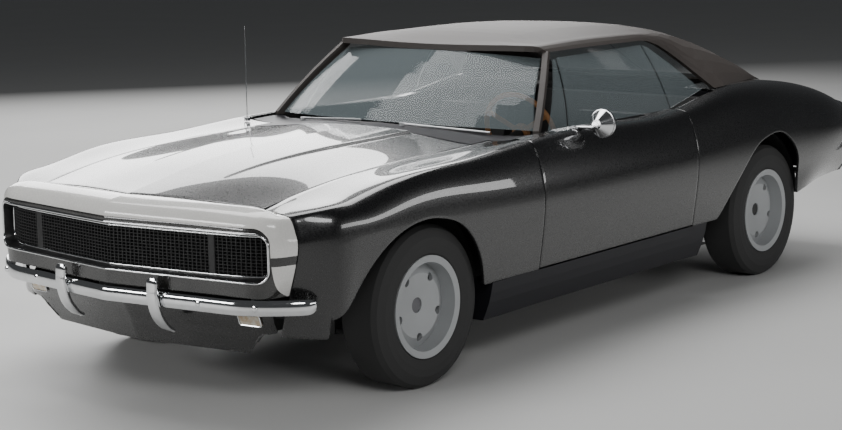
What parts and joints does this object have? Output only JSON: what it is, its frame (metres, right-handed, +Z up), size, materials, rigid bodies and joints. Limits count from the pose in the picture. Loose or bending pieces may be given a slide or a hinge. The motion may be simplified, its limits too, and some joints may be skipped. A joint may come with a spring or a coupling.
{
  "type": "two-door hardtop muscle car",
  "caption": "Two-door hardtop coupe with long bonnet, hidden headlamps behind a full-width grille, vinyl roof, opening doors, bonnet and boot, and steering front wheels.",
  "frame": {"origin": "on the ground under the middle of the car, at half its length and half its width", "axes": "+Z up, the car faces -Y, its left (driver) side is +X"},
  "size_m": [1.9136, 4.705, 1.3442],
  "materials": {
    "body_paint": "gloss black paint with clear coat",
    "nose_paint": "gloss white nose band",
    "underbody": "satin black chassis paint",
    "engine_grey": "plain cast block",
    "exhaust_steel": "dull steel pipe",
    "grille_black": "black fine-grid moulding",
    "chrome": "polished chrome plate",
    "bright_metal": "satin bright metal",
    "lamp_lens": "clear front lenses and red rear lenses",
    "vinyl_roof": "fine-grained dark vinyl",
    "glass": "lightly tinted clear glass",
    "cabin_trim": "grained black trim",
    "seat_vinyl": "black pleated vinyl",
    "rim_wood": "lacquered wood-look rim with bright spokes",
    "cast_iron": "rough casting",
    "tyre": "black rubber",
    "wheel_grey": "silver-grey painted steel"
  },
  "bodies": {
    "chassis": {"floor_pan": "underbody", "front_subframe": "underbody", "engine": "engine_grey", "radiator": "underbody", "control_arms": "underbody", "driveshaft": "underbody", "rear_axle": "underbody", "rear_springs": "underbody", "exhaust": "exhaust_steel", "fuel_tank": "underbody", "rocker_panels": "body_paint", "left_fender": "body_paint", "right_fender": "body_paint", "inner_fenders": "underbody", "left_quarter_panel": "body_paint", "right_quarter_panel": "body_paint", "rear_wheel_houses": "underbody", "rear_deck": "body_paint", "cowl_panel": "body_paint", "hinge_pillars": "underbody", "nose_panel": "nose_paint", "grille": "grille_black", "headlamp_covers": "grille_black", "front_valance": "body_paint", "tail_panel": "body_paint", "front_bumper": "chrome", "rear_bumper": "chrome", "plate_bracket": "underbody", "lamps": "lamp_lens", "roof": "vinyl_roof", "windshield": "glass", "rear_window": "glass", "quarter_windows": "glass", "wipers": "bright_metal", "antenna": "chrome", "dashboard": "cabin_trim", "front_seats": "seat_vinyl", "rear_seat": "seat_vinyl"},
    "hood": {"hood": "body_paint"},
    "trunk_lid": {"trunk_lid": "body_paint"},
    "left_door": {"left_door": "body_paint", "left_door_glass": "glass", "door_mirror": "chrome"},
    "right_door": {"right_door": "body_paint", "right_door_glass": "glass"},
    "left_knuckle": {"left_knuckle": "cast_iron"},
    "right_knuckle": {"right_knuckle": "cast_iron"},
    "steering_wheel": {"steering_wheel": "rim_wood"},
    "front_left_wheel": {"front_left_tyre": "tyre", "front_left_rim": "wheel_grey"},
    "front_right_wheel": {"front_right_tyre": "tyre", "front_right_rim": "wheel_grey"},
    "rear_left_wheel": {"rear_left_tyre": "tyre", "rear_left_rim": "wheel_grey"},
    "rear_right_wheel": {"rear_right_tyre": "tyre", "rear_right_rim": "wheel_grey"}
  },
  "joints": [
    {"name": "hood_hinge", "type": "hinge", "parent": "chassis", "child": "hood", "pos_m": [0, -0.8185, 0.931], "axis": [-1, 0, 0], "range_deg": [0, 50]},
    {"name": "trunk_hinge", "type": "hinge", "parent": "chassis", "child": "trunk_lid", "pos_m": [0, 1.6365, 0.9605], "axis": [1, 0, 0], "range_deg": [0, 55]},
    {"name": "left_door_hinge", "type": "hinge", "parent": "chassis", "child": "left_door", "pos_m": [0.921, -0.7045, 0.6], "axis": [0, 0, -1], "range_deg": [0, 62]},
    {"name": "right_door_hinge", "type": "hinge", "parent": "chassis", "child": "right_door", "pos_m": [-0.921, -0.7045, 0.6], "axis": [0, 0, 1], "range_deg": [0, 62]},
    {"name": "left_steer", "type": "hinge", "parent": "chassis", "child": "left_knuckle", "pos_m": [0.6895, -1.4065, 0.3275], "axis": [0, 0, 1], "range_deg": [-32, 32]},
    {"name": "right_steer", "type": "hinge", "parent": "chassis", "child": "right_knuckle", "pos_m": [-0.6895, -1.4065, 0.3275], "axis": [0, 0, 1], "range_deg": [-32, 32]},
    {"name": "steering_wheel_turn", "type": "hinge", "parent": "chassis", "child": "steering_wheel", "pos_m": [0.37, -0.10229, 0.84981], "axis": [0, 0.9471, 0.3208], "range_deg": [-560, 560]},
    {"name": "front_left_spin", "type": "hinge", "parent": "left_knuckle", "child": "front_left_wheel", "pos_m": [0.7495, -1.4065, 0.3275], "axis": [1, 0, 0], "continuous": true},
    {"name": "front_right_spin", "type": "hinge", "parent": "right_knuckle", "child": "front_right_wheel", "pos_m": [-0.7495, -1.4065, 0.3275], "axis": [1, 0, 0], "continuous": true},
    {"name": "rear_left_spin", "type": "hinge", "parent": "chassis", "child": "rear_left_wheel", "pos_m": [0.748, 1.3395, 0.3275], "axis": [1, 0, 0], "continuous": true},
    {"name": "rear_right_spin", "type": "hinge", "parent": "chassis", "child": "rear_right_wheel", "pos_m": [-0.748, 1.3395, 0.3275], "axis": [1, 0, 0], "continuous": true}
  ],
  "couplings": [
    {"joint": "right_steer", "follows": "left_steer", "ratio": 1},
    {"joint": "steering_wheel_turn", "follows": "left_steer", "ratio": 17}
  ]
}
